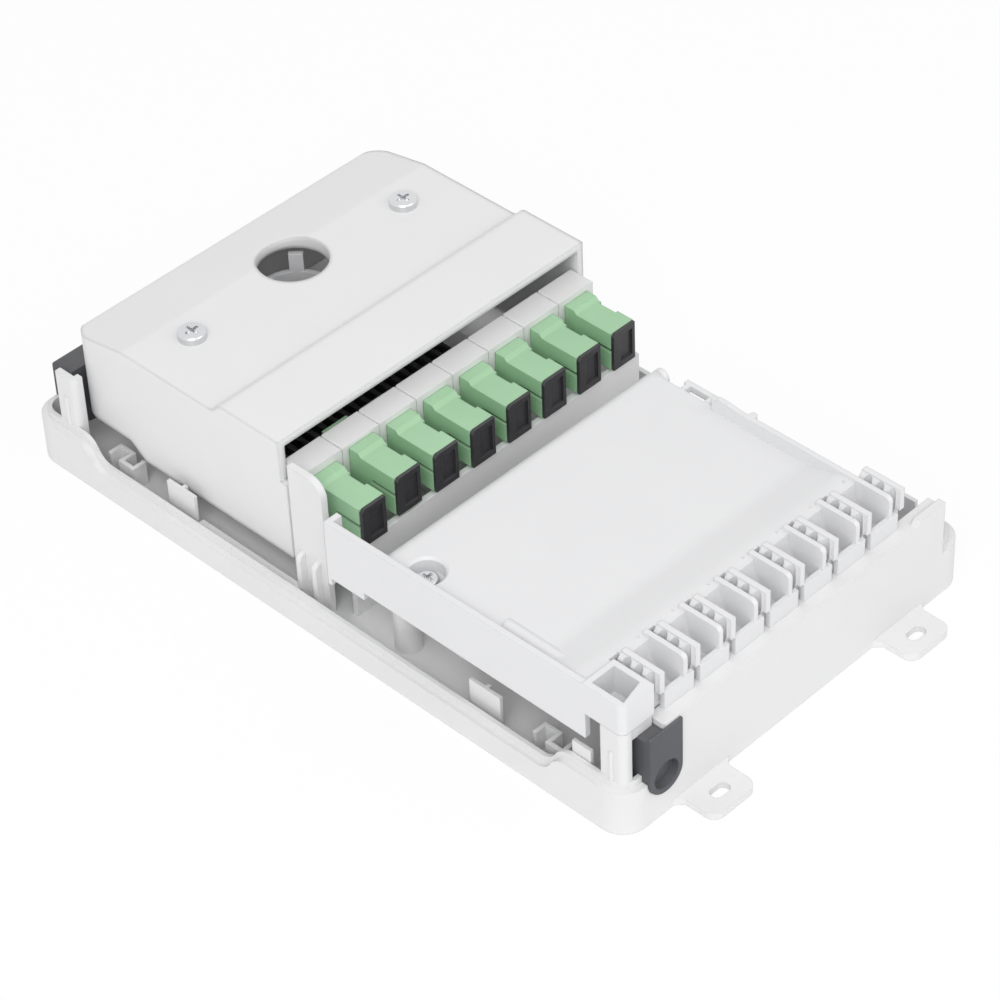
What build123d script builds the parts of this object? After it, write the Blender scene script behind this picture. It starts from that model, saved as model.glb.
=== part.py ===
from build123d import *
import os

os.makedirs("parts", exist_ok=True)

# Cuts run past the surface by this much
cut_over = 1.0

# Overall base, mm. X is the width, Y the length, Z up from the underside.
gutter_width = 9.5
base_length = 236.0
base_corner = 8.0
floor_thick = 2.0

# Rim: an outer step with a thinner lip inside it, raised towards both ends.
rim_step = 2.0
rim_lip = 1.4
rim_low = 8.0
rim_high = 15.0
lip_rise = 2.1
rim_high_run = 21.0
rim_rise_run = 11.0

# Ears with slots
ear_width = 17.0
ear_reach = 12.5
ear_thick = 2.2
ear_offset = 40.4
ear_corner = 3.5
ear_flare = 2.2
slot_width = 3.9
slot_length = 6.4
slot_out = 6.6

# Front wall and the ledge that the fibres leave over
wall_left_gap = 21.5
wall_right_gap = 11.0
wall_thick = 2.4
ledge_top = 32.0
ledge_thick = 2.0
ledge_depth = 3.8
ledge_seat = 2.2
tab_reach = 6.0
tab_corner = 1.5
horn_length = 10.5
horn_rise = 1.8

# Corner posts beside the grommets
post_inset = 2.9
post_run = 8.0
post_corner = 2.2
post_thick = 2.0
post_top = 34.5
post_front = 3.4
post_rib = 0.7
post_rib_top = 27.0
post_rib_in = 4.2
rear_post_in = 19.1

# Grommets
grommet_width = 12.4
grommet_deep = 11.6
grommet_top = 29.9
grommet_centre_z = 15.1
grommet_proud = 0.9
rear_grommet_back = 1.6
rear_grommet_round = 2.4
grommet_lip_top = 31.2
grommet_lip_gap = 0.1
recess_r = 4.6
recess_deep = 2.4
grommet_fit = 0.1

# Adapter row
adapter_count = 8
adapter_pitch = 14.4
adapter_width = 9.3
adapter_high = 14.2
adapter_floor = 27.5
adapter_length = 28.2
adapter_front = -6.05
collar_rise = 1.1
collar_length = 4.6
collar_step = 1.1
port_width = 7.4
port_high = 9.6
port_deep = 12.6
tube_r = 2.2
key_slot_high = 1.3
key_slot_up = 6.9
key_slot_deep = 1.2
key_slot_length = 9.0
catch_length = 6.5
catch_deep = 0.9
catch_high = 1.2
catch_gap = 1.0

shift_y = [-0.5, 0.5, 0.2, 0.0, 0.0, 0.0, 0.0, 0.0]
shift_z = [-0.6, 0.8, 0.2, 0.0, 0.0, 0.0, 0.0, 0.0]

# Sleeves inside the adapters
sleeve_outer = 3.2
sleeve_bore = 2.5
sleeve_length = 11.4
sleeve_split = 0.5
sleeve_fit = 0.05

# Dust caps
cap_width = 8.9
cap_high = 13.1
cap_flange = 1.0
cap_gap = 0.1
cap_corner = 1.0
cap_recess_width = 5.0
cap_recess_high = 9.4
cap_recess_deep = 0.7
cap_recess_side = 0.8
cap_plug_fit = 0.1
cap_plug_length = 8.0
cap_bore = 4.6

# Carriers
carrier_gap = 0.2
carrier_front = 11.8
carrier_length = 8.5
carrier_top = 44.0
carrier_floor = 1.7
carrier_fit = 0.1
carrier_edge = 0.4

# Rails of the base that carry the row
rail_thick = 2.0
rail_in = 2.4
rail_gap = 0.4

# Guide plate beside the first carrier
guide_gap = 2.2
guide_thick = 2.2
guide_start = 0.4
guide_length = 13.2
guide_top = 48.8
guide_round = 5.5
gusset_top = 19.6
gusset_reach = 2.2
gusset_thick = 1.8
gusset_first = 2.4
gusset_second = 8.6

# Front tray: a plate with a wall at the left and a low edge at the right
plate_top = 40.6
plate_thick = 1.8
plate_back = -23.3
tray_inset = 2.8
tray_wall = 1.9
tray_wall_back = -5.8
tray_wall_top_back = 43.4
tray_wall_top_front = 45.2
tray_edge_low = 21.0
tray_edge_mid = 23.4
tray_edge = 26.0
tray_tab_end = -7.2
tray_mid_end = -20.0
tray_edge_in = 16.0
tray_notch_top = 34.8
right_edge_start = -50.0
flange_reach = 5.0
flange_low = 26.0
shelf_rise = 3.2
shelf_in = 34.0
shelf_end_in = 21.0
shelf_soft = 16.0
bend_r = 5.0
bend_drop = 6.5
tray_fit = 0.2
bulge_r = 2.2
bulge_in = 9.4
bulge_start = -68.0
bulge_end_in = 28.0
bulge_rise = 1.1
lug_thick = 1.6
lug_gap = 2.2
lug_rise = 0.4
lug_start = -48.5
lug_end = -36.5
knob_r = 2.6
knob_y = -29.0
knob_drop = 1.0
hump_rise = 0.6
hump_run = 2.0
hump_length = 5.5
hump_end = -59.5
bump_r = 1.2
bump_y = -63.5

# Comb of the tray
comb_count = 7
comb_pitch = 13.7
comb_in = 20.2
comb_top = 45.0
comb_back_in = 17.7
comb_front_gap = 0.4
rib_wall = 1.8
rib_depth = 1.4
rib_end = 1.1
flute_r = 1.4
flute_count = 3
flute_pitch = 4.1
flute_first = 3.0
rib_drop = 1.9
rib_drop_in = 0.4
fin_thick = 1.6
fin_offset = 8.8
fin_back_in = 16.2
fin_start_in = 18.4
hole_back = 1.0
chute_run = 7.0
chute_pull = 1.0
fin_round = 1.6
cross_thick = 1.5
cross_width = 11.3
cross_lap = 0.5
cross_top = 37.9
comb_floor = 1.4
pocket_right_in = 14.8
pocket_wall = 1.8
pocket_back_in = 15.1
pocket_front_right_in = 6.2
pocket_front_left_in = 4.1
pocket_floor = 36.1
column_corner = 2.2

# Fixing of the tray
cup_r = 5.2
cup_wall = 1.2
cup_floor = 1.4
cup_deep = 4.6
cup_edge = 0.7
fixing_in = 9.6
fixing_back_y = -38.2
fixing_front_in = 25.4
fixing_boss_in = 24.0
lug_arm = 3.0
lug_arm_width = 7.6
peg_in = 13.9
peg_y = -24.5
peg_r = 4.0
peg_top = 24.0

# Splice cover
cover_side_gap = 0.5
cover_wall = 2.4
cover_front = 18.4
cover_back_in = 11.0
band_top = 53.0
band_length = 24.0
band_step = 3.0
main_drop = 3.4
main_end_in = 34.5
back_drop = 7.8
skirt_low = 12.4
skirt_high = 17.0
skirt_low_end_in = 40.0
skirt_rise_run = 6.0
roof_bend = 3.0
cover_back_corner = 9.0
cover_hole_x = 2.0
cover_hole_in = 39.0
cover_hole_r = 10.9
hole_collar = 2.4
hole_collar_depth = 4.4
wing_reach = 2.4
wing_top = 39.0
cover_screw_x = 42.0
cover_screw_in = 44.3

# Screws
pan_r = 4.3
pan_high = 2.5
pan_edge = 1.1
shank_r = 1.5
shank_length = 12.0
drive_width = 1.0
drive_span = 4.6
drive_deep = 1.4
screw_fit = 0.25
tray_pan_r = 3.4
boss_r = 4.4

# Splice tray and its holder
splice_side = 8.1
splice_start = 38.0
splice_back_in = 16.0
splice_thick = 1.6
splice_wall_high = 9.0
spool_r = 13.0
spool_wall = 1.6
spool_high = 32.4
spool_tab_width = 4.4
spool_tab_high = 6.5
spool_tab_angle = 45.0
holder_width = 68.0
holder_length = 22.0
holder_high = 8.0
holder_base = 2.0
holder_slots = 16
holder_slot_width = 2.4
holder_pitch = 4.2
splice_fit = 0.3

# Clips in the left gutter
gutter_step_top = 7.0
gutter_step_back = 52.0
gutter_step_front = 10.0
clip_thick = 1.2
clip_length = 11.5
clip_top = 16.0
clip_in = 6.0
clip_back = 58.4
clip_front = -62.4
latch_top = 10.0
latch_thick = 1.3
latch_reach = 4.4
latch_pitch = 5.2
latch_in = 6.8
latch_back_in = 37.0
latch_front_in = 28.4
snap_in = 4.2
snap_front_in = 18.4
snap_length = 6.6
snap_top = 21.0
snap_thick = 1.2

# Places that follow from the sizes above
row_half = adapter_pitch * adapter_count / 2
cover_half = row_half + cover_side_gap + cover_wall
half_width = cover_half + gutter_width
base_width = 2 * half_width
half_length = base_length / 2
rim_inner = rim_step + rim_lip
ledge_y = -half_length + ledge_depth
wall_left = -half_width + wall_left_gap
wall_right = half_width - wall_right_gap
plate_under = plate_top - plate_thick
adapter_top = adapter_floor + adapter_high
carrier_under = adapter_floor - carrier_floor
screw_hole_r = shank_r + screw_fit
cup_under = plate_top - cup_deep - cup_floor
carrier_back = carrier_front + carrier_length
tray_left = half_width - tray_inset
comb_first = -half_width + comb_in
tray_right = comb_first + (comb_count - 1) * comb_pitch + fin_offset
tray_edge_end = -half_length + tray_edge_in
shelf_start = -half_length + shelf_in
shelf_end = -half_length + shelf_end_in
bulge_x = -half_width + bulge_in
bulge_end = -half_length + bulge_end_in
comb_back = -half_length + comb_back_in
fin_back = -half_length + fin_back_in
fin_start = -half_length + fin_start_in
pocket_right = -half_width + pocket_right_in
pocket_back = -half_length + pocket_back_in
pocket_front_right = -half_length + pocket_front_right_in
pocket_front_left = -half_length + pocket_front_left_in
tray_fixings = [(-half_width + fixing_in, fixing_back_y), (-half_width + fixing_in, -half_length + fixing_front_in)]
fixing_boss_x = -half_width + fixing_boss_in
peg_at = (-half_width + peg_in, peg_y)
main_top = band_top - main_drop
back_top = band_top - back_drop
cover_back = half_length - cover_back_in
main_end = half_length - main_end_in
skirt_low_end = half_length - skirt_low_end_in
cover_hole = (cover_hole_x, half_length - cover_hole_in)
cover_screws_at = (cover_screw_x, half_length - cover_screw_in)
clip_x = half_width - clip_in
latch_x = half_width - latch_in
latch_back = half_length - latch_back_in
latch_front = -half_length + latch_front_in
snap_x = half_width - snap_in
snap_y = -half_length + snap_front_in


def rise(low):
    """Side view of what is cut off the rim between its raised ends."""
    end = half_length - rim_high_run
    start = end - rim_rise_run
    mid = (start + end) / 2
    high = low + rim_high - rim_low
    half = (low + high) / 2
    top = high + lip_rise + 1
    with BuildSketch(Plane.YZ) as side:
        with BuildLine():
            TangentArc((start, low), (mid, half), tangent=(1, 0))
            TangentArc((mid, half), (end, high), tangent=(-1, 0), tangent_from_first=False)
            Line((end, high), (end, top))
            Line((end, top), (-end, top))
            Line((-end, top), (-end, high))
            TangentArc((-end, high), (-mid, half), tangent=(1, 0))
            TangentArc((-mid, half), (-start, low), tangent=(-1, 0), tangent_from_first=False)
            Line((-start, low), (start, low))
        make_face()
    return side.sketch


# Lip that stands inside the step of the rim
lip_cut = extrude(rise(rim_low + lip_rise), base_width, both=True)
rim_cut = extrude(rise(rim_low), base_width, both=True)
with BuildPart() as lip:
    with BuildSketch(Plane.XY):
        RectangleRounded(base_width - 2 * rim_step, base_length - 2 * rim_step, base_corner - rim_step)
        RectangleRounded(base_width - 2 * rim_inner, base_length - 2 * rim_inner,
                         base_corner - rim_inner, mode=Mode.SUBTRACT)
    extrude(amount=rim_high + lip_rise)
    add(lip_cut, mode=Mode.SUBTRACT)

# Corner post: an upright angle just inside the rim, made once and mirrored
post_x = -half_width + post_inset
post_y = -half_length + post_inset
with BuildPart() as post:
    with BuildSketch(Plane.XY):
        with BuildLine():
            FilletPolyline((post_x, post_y + post_run), (post_x, post_y),
                           (post_x + post_front, post_y), radius=post_corner)
            offset(amount=post_thick, side=Side.LEFT)
        make_face()
    extrude(amount=post_top)
    with BuildSketch(Plane.XY):
        with Locations((post_x, post_y + post_rib_in)):
            Circle(post_rib)
    extrude(amount=post_rib_top)

rear_post = Pos(0, half_length - rear_post_in - post_y, 0) * post.part

with BuildPart() as base:
    with BuildSketch(Plane.XY):
        RectangleRounded(base_width, base_length, base_corner)
        RectangleRounded(base_width - 2 * rim_inner, base_length - 2 * rim_inner,
                         base_corner - rim_inner, mode=Mode.SUBTRACT)
    extrude(amount=rim_high)
    add(rim_cut, mode=Mode.SUBTRACT)
    add(lip.part)
    with BuildSketch(Plane.XY):
        RectangleRounded(base_width, base_length, base_corner)
    extrude(amount=floor_thick)
    # ears with rounded tips
    for side_y in (-1, 1):
        for side_x in (-1, 1):
            with BuildSketch(Plane.XY) as ear:
                with Locations((side_x * ear_offset, side_y * (half_length + ear_reach / 2 - ear_corner))):
                    Rectangle(ear_width, ear_reach + 2 * ear_corner)
                fillet(ear.vertices().group_by(Axis.Y)[0 if side_y < 0 else -1], ear_corner)
                with BuildLine():
                    Polyline((side_x * ear_offset - ear_width / 2 - ear_flare, side_y * half_length),
                             (side_x * ear_offset - ear_width / 2, side_y * (half_length + ear_flare)),
                             (side_x * ear_offset + ear_width / 2, side_y * (half_length + ear_flare)),
                             (side_x * ear_offset + ear_width / 2 + ear_flare, side_y * half_length), close=True)
                make_face()
                with Locations((side_x * ear_offset, side_y * (half_length + slot_out))):
                    SlotOverall(slot_length, slot_width, mode=Mode.SUBTRACT)
            extrude(amount=ear_thick)
    # front wall with its ledge
    wall_span = wall_right - wall_left
    wall_mid = (wall_right + wall_left) / 2
    with BuildSketch(Plane.XY):
        with Locations((wall_mid, -half_length + wall_thick / 2)):
            Rectangle(wall_span, wall_thick)
    extrude(amount=ledge_top)
    ledge_full = ledge_depth + ledge_seat
    with BuildSketch(Plane.XY.offset(ledge_top - ledge_thick)) as ledge:
        with Locations((wall_mid - tab_reach / 2, -half_length + ledge_full / 2)):
            Rectangle(wall_span + tab_reach, ledge_full)
        fillet(ledge.vertices().group_by(Axis.X)[0].group_by(Axis.Y)[0], tab_corner)
    extrude(amount=ledge_thick)
    # strip behind the tab that closes the gap above the grommet
    strip_left = post_x + post_front
    strip_right = pocket_right
    with BuildSketch(Plane.XY.offset(ledge_top - ledge_thick)):
        with Locations(((strip_left + strip_right) / 2, ledge_y + ledge_seat / 2)):
            Rectangle(strip_right - strip_left, ledge_seat)
    extrude(amount=post_top - ledge_top + ledge_thick)
    # horn at the right end of the ledge
    with BuildSketch(Plane.XZ.offset(half_length)):
        with BuildLine():
            Polyline((wall_right, ledge_top), (wall_right, ledge_top + horn_rise),
                     (wall_right - horn_length, ledge_top + horn_rise),
                     (wall_right - horn_length - horn_rise, ledge_top), close=True)
        make_face()
    extrude(amount=-wall_thick)
    add(post.part)
    add(rear_post)
    # grommet openings through the rim
    grommet_x = wall_left - grommet_width / 2 - grommet_fit
    opening_high = ledge_top - ledge_thick - grommet_centre_z
    for side_y in (-1, 1):
        with BuildSketch(Plane.XZ.offset(-side_y * (half_length - rim_inner))):
            with Locations((grommet_x, grommet_centre_z)):
                Circle(grommet_width / 2 + grommet_fit)
            with Locations((grommet_x, grommet_centre_z + opening_high / 2)):
                Rectangle(grommet_width + 2 * grommet_fit, opening_high)
        extrude(amount=rim_inner + cut_over, both=True, mode=Mode.SUBTRACT)
    # rails under the carriers and a free one below the front ends of the adapters
    with BuildSketch(Plane.XY):
        with Locations((0, carrier_front + rail_in), (0, carrier_back - rail_in)):
            Rectangle(2 * row_half, rail_thick)
    extrude(amount=carrier_under)
    with BuildSketch(Plane.XY):
        with Locations((0, adapter_front + rail_thick / 2)):
            Rectangle(2 * row_half, rail_thick)
    extrude(amount=adapter_floor + min(shift_z) - rail_gap)
    # guide plate with two gussets
    guide_x = -row_half - guide_gap
    with BuildSketch(Plane.YZ.offset(guide_x - guide_thick)) as guide:
        with Locations((guide_start + guide_length / 2, guide_top / 2)):
            Rectangle(guide_length, guide_top)
        top_corners = guide.vertices().group_by(Axis.Y)[-1].sort_by(Axis.X)
        fillet(top_corners[0], guide_round)
    extrude(amount=guide_thick)
    for step in (gusset_first, gusset_second):
        with BuildSketch(Plane.XZ.offset(-guide_start - step)):
            with BuildLine():
                arc_z = gusset_top - gusset_reach
                Polyline((guide_x - guide_thick, gusset_top), (guide_x - guide_thick, 0),
                         (guide_x - guide_thick - gusset_reach, 0), (guide_x - guide_thick - gusset_reach, arc_z))
                RadiusArc((guide_x - guide_thick - gusset_reach, arc_z), (guide_x - guide_thick, gusset_top),
                          gusset_reach)
            make_face()
        extrude(amount=-gusset_thick)
    # bosses for the cover screws, the tray screws and the peg under the tray
    with BuildSketch(Plane.XY):
        with Locations((cover_screws_at[0], cover_screws_at[1]), (-cover_screws_at[0], cover_screws_at[1])):
            Circle(boss_r)
    extrude(amount=main_top - cover_wall)
    for fix_x, fix_y in tray_fixings:
        with BuildSketch(Plane.XY):
            with Locations((fixing_boss_x, fix_y)):
                Circle(boss_r)
        extrude(amount=cup_under)
        with BuildSketch(Plane.XY.offset(cup_under - lug_arm)):
            with Locations(((fix_x + fixing_boss_x) / 2, fix_y)):
                SlotCenterToCenter(fixing_boss_x - fix_x, lug_arm_width)
        extrude(amount=lug_arm)
    with BuildSketch(Plane.XY):
        with Locations(peg_at):
            Circle(peg_r)
    extrude(amount=peg_top)
    with Locations((cover_screws_at[0], cover_screws_at[1], main_top - cover_wall),
                   (-cover_screws_at[0], cover_screws_at[1], main_top - cover_wall)):
        Hole(shank_r, depth=shank_length)
    with Locations(*[(x, y, cup_under) for x, y in tray_fixings]):
        Hole(shank_r, depth=lug_arm)
    # raised step of the floor in the left gutter
    with BuildSketch(Plane.XY):
        with Locations((-(half_width + cover_half) / 2, (gutter_step_back + gutter_step_front) / 2)):
            Rectangle(gutter_width - 2 * rim_step, gutter_step_back - gutter_step_front)
    extrude(amount=gutter_step_top)
    # upright plates and small latches in the left gutter
    with BuildSketch(Plane.XY):
        with Locations((-clip_x, clip_back), (-clip_x, clip_front)):
            Rectangle(clip_thick, clip_length)
        with Locations((-clip_x + clip_thick, clip_back), (-clip_x + clip_thick, clip_front)):
            Rectangle(clip_thick, clip_thick)
    extrude(amount=clip_top)
    with BuildSketch(Plane.XY):
        for start, way in ((latch_back, 1), (latch_front, 1)):
            with Locations((-latch_x + latch_reach / 2, start), (-latch_x + latch_reach / 2, start + latch_pitch),
                           (-latch_x + latch_reach / 2, start + 2 * latch_pitch)):
                Rectangle(latch_reach, latch_thick)
            with Locations((-latch_x, start + latch_pitch / 2)):
                Rectangle(latch_thick, latch_pitch + latch_thick)
            with Locations((-latch_x + latch_reach, start + 1.5 * latch_pitch)):
                Rectangle(latch_thick, latch_pitch + latch_thick)
    extrude(amount=latch_top)
    with BuildSketch(Plane.XY):
        with Locations((-snap_x, snap_y), (snap_x, snap_y)):
            Rectangle(snap_thick, snap_length)
    extrude(amount=snap_top)
base.part.label = "base"
export_step(base.part, "parts/base.step")

# Front tray with its comb, one moulding
comb_end = ledge_y + comb_front_gap
comb_right = comb_first + comb_count * comb_pitch
seat_y = ledge_y + ledge_seat + tray_fit
shelf_top = plate_top + shelf_rise
pocket_left = -tray_left + tray_wall
column_x = -tray_left
column_y = post_y

with BuildPart() as tray:
    # plate with the raised shelf before the comb and its rear edge bent down
    lip_low = plate_top - bend_drop
    with BuildSketch(Plane.YZ.offset(-tray_left + tray_wall)) as plate:
        with BuildLine():
            Polyline((plate_back, plate_top), (shelf_start, plate_top), (shelf_end, shelf_top),
                     (fin_back, shelf_top), (fin_back, plate_under), (plate_back - plate_thick, plate_under),
                     (plate_back - plate_thick, lip_low), (plate_back, lip_low), close=True)
        make_face()
        fillet(plate.vertices().sort_by_distance((plate_back, plate_top))[0], bend_r)
        fillet(plate.vertices().sort_by_distance((plate_back - plate_thick, plate_under))[0], bend_r - plate_thick)
        for bend_y, bend_z in ((shelf_start, plate_top), (shelf_end, shelf_top)):
            fillet(plate.vertices().sort_by_distance((bend_y, bend_z))[0], shelf_soft)
    extrude(amount=tray_left - tray_wall + tray_right)
    # left wall with its stepped lower edge
    with BuildSketch(Plane.YZ.offset(-tray_left)):
        with BuildLine():
            Polyline((tray_wall_back, tray_edge_low), (tray_wall_back, tray_wall_top_back),
                     (column_y + column_corner, tray_wall_top_front), (column_y + column_corner, post_top + tray_fit),
                     (tray_edge_end, post_top + tray_fit), (tray_edge_end, tray_edge),
                     (tray_mid_end, tray_edge), (tray_mid_end, tray_edge_mid),
                     (tray_tab_end, tray_edge_mid), (tray_tab_end, tray_edge_low), close=True)
        make_face()
    extrude(amount=tray_wall)
    # flange at the back end of the left wall
    with BuildSketch(Plane.XZ.offset(-tray_wall_back)) as flange:
        with Locations((-tray_left + flange_reach / 2, (tray_wall_top_back + flange_low) / 2)):
            Rectangle(flange_reach, tray_wall_top_back - flange_low)
    extrude(amount=tray_wall)
    # right edge that runs on into the last fin
    with BuildSketch(Plane.XY.offset(plate_under)):
        with Locations((tray_right - fin_thick / 2, (right_edge_start + fin_back) / 2)):
            Rectangle(fin_thick, right_edge_start - fin_back)
    extrude(amount=comb_top - plate_under)
    # hump where that edge starts and a round bump further on
    with BuildSketch(Plane.YZ.offset(tray_right - fin_thick)):
        with BuildLine():
            Polyline((right_edge_start, plate_top), (right_edge_start - hump_run, comb_top + hump_rise),
                     (right_edge_start - hump_length, comb_top + hump_rise), (hump_end, comb_top),
                     (hump_end, plate_top), close=True)
        make_face()
    extrude(amount=fin_thick)
    with BuildSketch(Plane.XY.offset(plate_under)):
        with Locations((tray_right + bump_r / 2, bump_y)):
            Circle(bump_r)
    extrude(amount=comb_top - plate_under)
    # round knob and slotted bar outside the right edge
    with BuildSketch(Plane.YZ.offset(tray_right)):
        with Locations((knob_y, plate_top - knob_drop)):
            Circle(knob_r)
    extrude(amount=lug_thick)
    with BuildSketch(Plane.XY.offset(plate_under)):
        with Locations((tray_right + lug_gap + lug_thick / 2, (lug_start + lug_end) / 2)):
            Rectangle(lug_thick, lug_end - lug_start)
        with Locations((tray_right + lug_gap / 2, lug_start + lug_thick), (tray_right + lug_gap / 2, lug_end - lug_thick)):
            Rectangle(lug_gap, lug_thick)
    extrude(amount=plate_thick + lug_rise)
    # low half round bulge along the left wall
    with BuildSketch(Plane.XZ.offset(-bulge_start)):
        with Locations((bulge_x, plate_top - bulge_r + bulge_rise)):
            Circle(bulge_r)
    extrude(amount=bulge_start - bulge_end)
    # corner column and pocket
    with BuildSketch(Plane.XY.offset(post_top + tray_fit)):
        with BuildLine():
            FilletPolyline((column_x, pocket_back + pocket_wall), (column_x, column_y),
                           (pocket_right, column_y), radius=column_corner)
            Polyline((pocket_right, column_y), (pocket_right, pocket_back + pocket_wall),
                     (column_x, pocket_back + pocket_wall))
        make_face()
    extrude(amount=tray_wall_top_front - post_top - tray_fit)
    with BuildSketch(Plane.XY.offset(pocket_floor)):
        with BuildLine():
            Polyline((pocket_left, pocket_back), (pocket_right - pocket_wall, pocket_back),
                     (pocket_right - pocket_wall, pocket_front_right),
                     (pocket_left, pocket_front_left), close=True)
        make_face()
    extrude(amount=comb_top, mode=Mode.SUBTRACT)
    # holes through the shelf behind every channel of the comb
    with BuildSketch(Plane.XY.offset(ledge_top)):
        for number in range(comb_count):
            wall_face = comb_first + number * comb_pitch - rib_wall
            channel = pocket_right if number == 0 else wall_face + rib_wall - comb_pitch + fin_offset
            with Locations(((wall_face + channel) / 2, (comb_back + hole_back + fin_back) / 2)):
                Rectangle(wall_face - channel, comb_back + hole_back - fin_back)
    extrude(amount=comb_top - ledge_top, mode=Mode.SUBTRACT)
    # exit combs: a wall with upright ribs on its left face, open grooves between them
    for number in range(comb_count + 1):
        left = comb_first + number * comb_pitch - rib_wall
        with BuildSketch(Plane.YZ.offset(left)):
            with BuildLine():
                Polyline((comb_back, plate_under), (comb_back, comb_top), (comb_end, comb_top),
                         (comb_end, cross_top), (seat_y, cross_top), (seat_y, ledge_top),
                         (fin_back, ledge_top), (fin_back, plate_under), close=True)
            make_face()
        extrude(amount=rib_wall)
        with BuildSketch(Plane.YZ.offset(left - rib_depth)):
            with BuildLine():
                Polyline((comb_back, plate_under), (comb_back, comb_top),
                         (comb_end + rib_end, comb_top), (comb_end + rib_end, cross_top),
                         (seat_y, cross_top), (seat_y, ledge_top), (fin_back, ledge_top),
                         (fin_back, plate_under), close=True)
            make_face()
        extrude(amount=rib_depth)
        # rib tops slope away from the wall
        with BuildSketch(Plane.XZ.offset(-comb_back - hole_back)):
            with BuildLine():
                Polyline((left, comb_top + cut_over), (left, comb_top - rib_drop_in),
                         (left - rib_depth, comb_top - rib_drop), (left - rib_depth, comb_top + cut_over), close=True)
            make_face()
        extrude(amount=comb_back + hole_back - comb_end, mode=Mode.SUBTRACT)
        with BuildSketch(Plane.XY.offset(ledge_top)):
            for step in range(flute_count):
                with Locations((left - rib_depth, comb_back - flute_first - step * flute_pitch)):
                    Circle(flute_r)
        extrude(amount=comb_top - ledge_top, mode=Mode.SUBTRACT)
    floor_z = ledge_top + comb_floor
    for number in range(comb_count):
        right = comb_first + number * comb_pitch
        with BuildSketch(Plane.YZ.offset(right + fin_offset - fin_thick)) as fin:
            with BuildLine():
                Polyline((fin_start, plate_under), (fin_start, comb_top), (comb_end, comb_top),
                         (comb_end, ledge_top), (fin_back, ledge_top), (fin_back, plate_under), close=True)
            make_face()
            fillet(fin.vertices().sort_by_distance((comb_end, comb_top))[0], fin_round)
        extrude(amount=fin_thick)
        # floor of the pocket, which curves up to the shelf
        with BuildSketch(Plane.YZ.offset(right)):
            with BuildLine():
                Bezier((fin_back, shelf_top), (fin_back - chute_pull, floor_z), (fin_back - chute_run, floor_z))
                Polyline((fin_back - chute_run, floor_z), (ledge_y + cross_thick, floor_z),
                         (ledge_y + cross_thick, ledge_top), (fin_back, ledge_top), (fin_back, shelf_top))
            make_face()
        extrude(amount=fin_offset - fin_thick)
        with BuildSketch(Plane.XY.offset(ledge_top)):
            with Locations((right - cross_lap + cross_width / 2, ledge_y + cross_thick / 2)):
                Rectangle(cross_width, cross_thick)
        extrude(amount=cross_top - ledge_top)
    # bridges that tie the first and last walls
    with BuildSketch(Plane.XY.offset(ledge_top)):
        with Locations(((tray_right + comb_right - rib_wall) / 2, fin_back - fin_thick / 2),
                       ((pocket_right + comb_first - rib_wall) / 2, fin_back - fin_thick / 2)):
            Rectangle(comb_right - rib_wall - tray_right, fin_thick)
    extrude(amount=plate_under - ledge_top)
    # cups for the fixings
    with BuildSketch(Plane.XY.offset(cup_under)):
        with Locations(*tray_fixings):
            Circle(cup_r + cup_wall)
    extrude(amount=cup_deep + cup_floor - plate_thick / 2)
    with BuildSketch(Plane.XY.offset(cup_under + cup_floor)):
        with Locations(*tray_fixings):
            Circle(cup_r)
    extrude(amount=cup_deep, mode=Mode.SUBTRACT)
    with BuildSketch(Plane.XY.offset(cup_under)):
        with Locations(*tray_fixings):
            Circle(screw_hole_r)
    extrude(amount=cup_floor, mode=Mode.SUBTRACT)
    with Locations(*[(x, y, plate_top - cup_edge / 2) for x, y in tray_fixings]):
        Cone(cup_r, cup_r + cup_edge, cup_edge, mode=Mode.SUBTRACT)
tray.part.label = "front_tray"
export_step(tray.part, "parts/front_tray.step")

# Splice cover: a roof profile run across the width, hollow below
def roof(inset, front, bottom):
    """Side view of the cover, drawn in by a wall thickness."""
    top = band_top - inset
    main = main_top - inset
    back = cover_back - inset
    band_end = cover_front + band_length
    with BuildSketch(Plane.YZ.offset(-cover_half + inset)) as side:
        with BuildLine():
            Polyline((front, bottom), (front, top), (band_end, top), (band_end + band_step, main),
                     (main_end, main), (back, back_top - inset), (back, bottom), close=True)
        make_face()
        if inset == 0:
            soft = side.vertices().filter_by_position(Axis.Y, back_top - 1, band_top + 1)
            fillet(soft.filter_by_position(Axis.X, front + 1, back + 1), roof_bend)
    return side.sketch


def outline(inset, level):
    """Plan of the cover with its round back corners, open to the front."""
    start = cover_front - wing_reach - 2
    back = cover_back - inset
    with BuildSketch(Plane.XY.offset(level)) as plan:
        with Locations((0, (start + back) / 2)):
            Rectangle(2 * (cover_half - inset), back - start)
        fillet(plan.vertices().group_by(Axis.Y)[-1], cover_back_corner - inset)
    return plan.sketch


hollow_side = roof(cover_wall, cover_front - wing_reach - 1, -1)
hollow_plan = outline(cover_wall, -1)
hollow_body = extrude(hollow_side, 2 * (cover_half - cover_wall)) & extrude(hollow_plan, band_top + 2)
with BuildPart() as hollow:
    add(hollow_body)
    # thick collar round the thumb hole stays solid
    with BuildSketch(Plane.XY.offset(main_top - hole_collar_depth)):
        with Locations(cover_hole):
            Circle(cover_hole_r + hole_collar)
    extrude(amount=hole_collar_depth, mode=Mode.SUBTRACT)

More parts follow.
